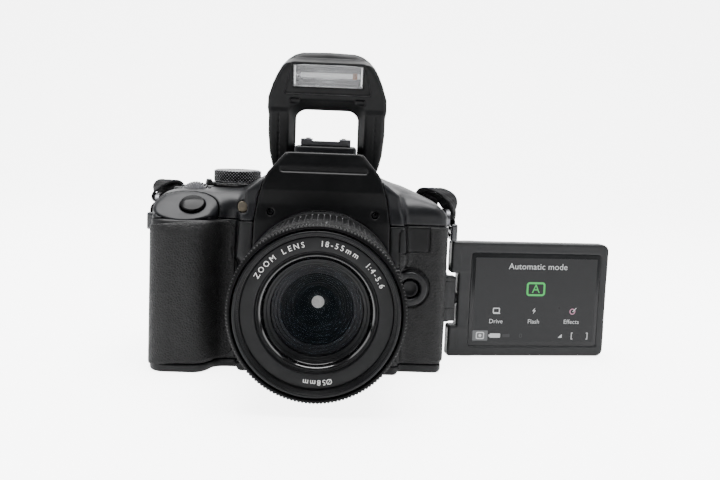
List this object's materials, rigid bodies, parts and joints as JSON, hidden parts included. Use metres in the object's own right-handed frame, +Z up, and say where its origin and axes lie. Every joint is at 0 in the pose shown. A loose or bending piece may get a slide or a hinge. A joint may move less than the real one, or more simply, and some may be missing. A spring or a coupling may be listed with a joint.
{
  "type": "dslr camera",
  "caption": "Single-lens reflex camera with a kit zoom lens, its built-in flash raised and its screen swung out to the side facing forward.",
  "frame": {"origin": "mouth of the tripod socket, in the base plane and in the plane of the image sensor", "axes": "+X to the right seen from the front, +Y from the lens into the body, +Z up"},
  "size_m": [0.2218, 0.1316, 0.144],
  "materials": {
    "body_plastic": "fine matte grain",
    "inner_black": "flat anti-reflection black",
    "grip_rubber": "leather-like grain",
    "soft_rubber": "smooth matte",
    "mount_steel": "turned",
    "shoe_metal": "dark satin",
    "socket_brass": "machined thread",
    "optical_glass": "coated",
    "lamp_lens": "clear lens",
    "circuit_board": "solder mask",
    "sensor_glass": "coated cover glass",
    "mirror_glass": "front silvered",
    "screw_black": "black oxide",
    "lens_plastic": "fine satin",
    "flash_lens": "prismatic",
    "flash_reflector": "polished",
    "screen_frame": "satin",
    "screen_glass": "lit display under glass",
    "button_gloss": "semi-gloss",
    "button_plastic": "satin",
    "dial_plastic": "knurled satin",
    "lens_rubber": "ribbed",
    "strap_web": "woven webbing",
    "strap_plastic": "moulded"
  },
  "bodies": {
    "camera_body": {"front_cover": "body_plastic", "grip_shell": "body_plastic", "rear_cover": "body_plastic", "top_cover": "body_plastic", "base_cover": "body_plastic", "mirror_box": "inner_black", "grip_skin": "grip_rubber", "thumb_skin": "grip_rubber", "side_skin": "grip_rubber", "mount_ring": "mount_steel", "hot_shoe": "shoe_metal", "tripod_socket": "socket_brass", "strap_lugs": "shoe_metal", "eyecup": "soft_rubber", "eyepiece_lens": "optical_glass", "red_eye_lamp": "lamp_lens", "main_board": "circuit_board", "image_sensor": "sensor_glass", "pentamirror": "mirror_glass", "shutter_unit": "inner_black", "battery_pack": "inner_black", "cover_screws": "screw_black", "lens_barrel": "lens_plastic", "strap_web_left": "strap_web", "strap_web_right": "strap_web", "strap_fittings": "strap_plastic"},
    "flash": {"flash_arm": "body_plastic", "flash_window": "flash_lens", "flash_tube": "flash_reflector"},
    "screen_hinge": {"lcd_hinge": "screen_frame"},
    "screen_panel": {"lcd_housing": "screen_frame", "lcd_screen": "screen_glass"},
    "shutter_button": {"shutter_button": "button_gloss"},
    "iso_button": {"iso_button": "button_plastic"},
    "display_button": {"display_button": "button_plastic"},
    "menu_button": {"menu_button": "button_plastic"},
    "info_button": {"info_button": "button_plastic"},
    "live_view_button": {"live_view_button": "button_plastic"},
    "lock_button": {"lock_button": "button_plastic"},
    "point_button": {"point_button": "button_plastic"},
    "set_button": {"set_button": "button_plastic"},
    "playback_button": {"playback_button": "button_plastic"},
    "erase_button": {"erase_button": "button_plastic"},
    "lens_release_button": {"lens_release_button": "button_plastic"},
    "cross_keys": {"cross_keys": "button_plastic"},
    "main_dial": {"main_dial": "dial_plastic"},
    "mode_dial": {"mode_dial": "dial_plastic"},
    "power_lever": {"power_lever": "dial_plastic"},
    "quick_dial": {"quick_dial": "dial_plastic"},
    "diopter_knob": {"diopter_knob": "dial_plastic"},
    "battery_door": {"battery_door": "body_plastic"},
    "audio_cover": {"audio_cover": "soft_rubber"},
    "video_cover": {"video_cover": "soft_rubber"},
    "reflex_mirror": {"reflex_mirror": "mirror_glass"},
    "zoom_ring": {"zoom_ring": "lens_rubber"},
    "lens_front": {"inner_barrel": "lens_plastic", "front_element": "optical_glass"},
    "focus_ring": {"focus_ring": "lens_plastic"},
    "focus_switch": {"focus_switch": "button_plastic"},
    "stabilizer_switch": {"stabilizer_switch": "button_plastic"}
  },
  "joints": [
    {"name": "flash_lift", "type": "hinge", "parent": "camera_body", "child": "flash", "pos_m": [0, 0.015, 0.089], "axis": [1, 0, 0], "range_deg": [0, 80]},
    {"name": "screen_swing", "type": "hinge", "parent": "camera_body", "child": "screen_hinge", "pos_m": [0.0575, 0.0066, 0.0282], "axis": [0, 0, -1], "range_deg": [-172.7, 0]},
    {"name": "screen_twist", "type": "hinge", "parent": "screen_hinge", "child": "screen_panel", "pos_m": [0.05825, 0.00075, 0.0282], "axis": [0.9919, 0.1271, 0], "range_deg": [-180, 90]},
    {"name": "shutter_press", "type": "slide", "parent": "camera_body", "child": "shutter_button", "axis": [0, 0.5878, -0.809], "range_m": [0, 0.0012], "stiffness_N_per_m": 250},
    {"name": "iso_press", "type": "slide", "parent": "camera_body", "child": "iso_button", "axis": [0, 0, -1], "range_m": [0, 0.0007], "stiffness_N_per_m": 250},
    {"name": "display_press", "type": "slide", "parent": "camera_body", "child": "display_button", "axis": [0, 0, -1], "range_m": [0, 0.0007], "stiffness_N_per_m": 250},
    {"name": "menu_press", "type": "slide", "parent": "camera_body", "child": "menu_button", "axis": [0, -1, 0], "range_m": [0, 0.0007], "stiffness_N_per_m": 250},
    {"name": "info_press", "type": "slide", "parent": "camera_body", "child": "info_button", "axis": [0, -1, 0], "range_m": [0, 0.0007], "stiffness_N_per_m": 250},
    {"name": "live_view_press", "type": "slide", "parent": "camera_body", "child": "live_view_button", "axis": [0, -1, 0], "range_m": [0, 0.0007], "stiffness_N_per_m": 250},
    {"name": "lock_press", "type": "slide", "parent": "camera_body", "child": "lock_button", "axis": [0, -1, 0], "range_m": [0, 0.0007], "stiffness_N_per_m": 250},
    {"name": "point_press", "type": "slide", "parent": "camera_body", "child": "point_button", "axis": [0, -1, 0], "range_m": [0, 0.0007], "stiffness_N_per_m": 250},
    {"name": "playback_press", "type": "slide", "parent": "camera_body", "child": "playback_button", "axis": [0, -1, 0], "range_m": [0, 0.0007], "stiffness_N_per_m": 250},
    {"name": "erase_press", "type": "slide", "parent": "camera_body", "child": "erase_button", "axis": [0, -1, 0], "range_m": [0, 0.0007], "stiffness_N_per_m": 250},
    {"name": "set_press", "type": "slide", "parent": "camera_body", "child": "set_button", "axis": [0, -1, 0], "range_m": [0, 0.0006], "stiffness_N_per_m": 250},
    {"name": "cross_keys_press", "type": "slide", "parent": "camera_body", "child": "cross_keys", "axis": [0, -1, 0], "range_m": [0, 0.0006], "stiffness_N_per_m": 250},
    {"name": "lens_release_press", "type": "slide", "parent": "camera_body", "child": "lens_release_button", "axis": [0, 1, 0], "range_m": [0, 0.0015], "stiffness_N_per_m": 250},
    {"name": "main_dial_turn", "type": "hinge", "parent": "camera_body", "child": "main_dial", "pos_m": [-0.057, -0.0215, 0.0735], "axis": [0, 1, 0], "continuous": true},
    {"name": "mode_dial_turn", "type": "hinge", "parent": "camera_body", "child": "mode_dial", "pos_m": [-0.04, -0.008, 0.0786], "axis": [0, 0, 1], "continuous": true},
    {"name": "power_lever_turn", "type": "hinge", "parent": "camera_body", "child": "power_lever", "pos_m": [-0.04, -0.008, 0.0786], "axis": [0, 0, 1], "range_deg": [-25, 25]},
    {"name": "quick_dial_turn", "type": "hinge", "parent": "camera_body", "child": "quick_dial", "pos_m": [-0.048, 0.014, 0.03], "axis": [0, 1, 0], "continuous": true},
    {"name": "diopter_turn", "type": "hinge", "parent": "camera_body", "child": "diopter_knob", "pos_m": [0.0214, 0.018, 0.0795], "axis": [0, 1, 0], "range_deg": [-150, 150]},
    {"name": "battery_door_open", "type": "hinge", "parent": "camera_body", "child": "battery_door", "pos_m": [-0.0498, -0.0215, 0.0012], "axis": [0, -1, 0], "range_deg": [0, 100]},
    {"name": "audio_cover_open", "type": "hinge", "parent": "camera_body", "child": "audio_cover", "pos_m": [0.056, -0.0166, 0.044], "axis": [0, 0, -1], "range_deg": [0, 110]},
    {"name": "video_cover_open", "type": "hinge", "parent": "camera_body", "child": "video_cover", "pos_m": [0.056, -0.0166, 0.023], "axis": [0, 0, -1], "range_deg": [0, 110]},
    {"name": "mirror_flip", "type": "hinge", "parent": "camera_body", "child": "reflex_mirror", "pos_m": [0, -0.0096, 0.055], "axis": [-1, 0, 0], "range_deg": [0, 45], "stiffness_Nm_per_rad": 0.02, "springref_deg": -11.46},
    {"name": "zoom_turn", "type": "hinge", "parent": "camera_body", "child": "zoom_ring", "pos_m": [0, -0.075, 0.0385], "axis": [0, -1, 0], "range_deg": [0, 75]},
    {"name": "zoom_extend", "type": "slide", "parent": "camera_body", "child": "lens_front", "axis": [0, -1, 0], "range_m": [0, 0.02]},
    {"name": "focus_turn", "type": "hinge", "parent": "camera_body", "child": "focus_ring", "pos_m": [0, -0.098, 0.0385], "axis": [0, 1, 0], "continuous": true},
    {"name": "focus_switch_slide", "type": "slide", "parent": "camera_body", "child": "focus_switch", "axis": [0, 1, 0], "range_m": [0, 0.0016]},
    {"name": "stabilizer_switch_slide", "type": "slide", "parent": "camera_body", "child": "stabilizer_switch", "axis": [0, 1, 0], "range_m": [0, 0.0016]}
  ],
  "couplings": [
    {"joint": "zoom_extend", "follows": "zoom_turn", "m_per_rad": 0.015279}
  ]
}
